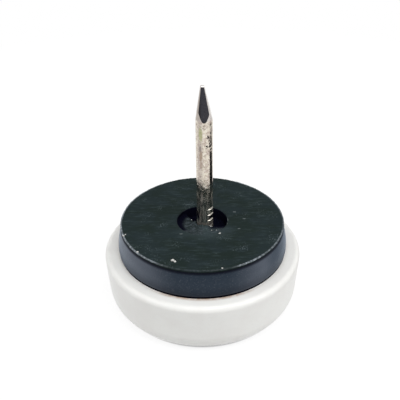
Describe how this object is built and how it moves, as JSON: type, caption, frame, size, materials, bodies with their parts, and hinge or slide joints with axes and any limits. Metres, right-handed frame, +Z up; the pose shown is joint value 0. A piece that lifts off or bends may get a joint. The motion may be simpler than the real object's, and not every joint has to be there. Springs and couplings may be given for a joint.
{
  "type": "nail-on furniture glide",
  "caption": "Round white plastic glide with a raised black rubber cushion and a central four-sided nail, driven into the end of a furniture leg.",
  "frame": {"origin": "centre of the sole's flat bottom, which slides on the floor", "axes": "+Z up along the nail; -Y faces the pictured front, where one facet of the nail's point shows; +X to the viewer's right"},
  "size_m": [0.028, 0.028, 0.0338],
  "materials": {
    "sole_plastic": "satin white moulded plastic",
    "cushion_rubber": "matte black rubber with a satin moulded side",
    "nail_steel": "bright drawn wire, lightly pitted"
  },
  "bodies": {
    "root": {"sole": "sole_plastic", "cushion": "cushion_rubber", "nail": "nail_steel"}
  },
  "joints": []
}
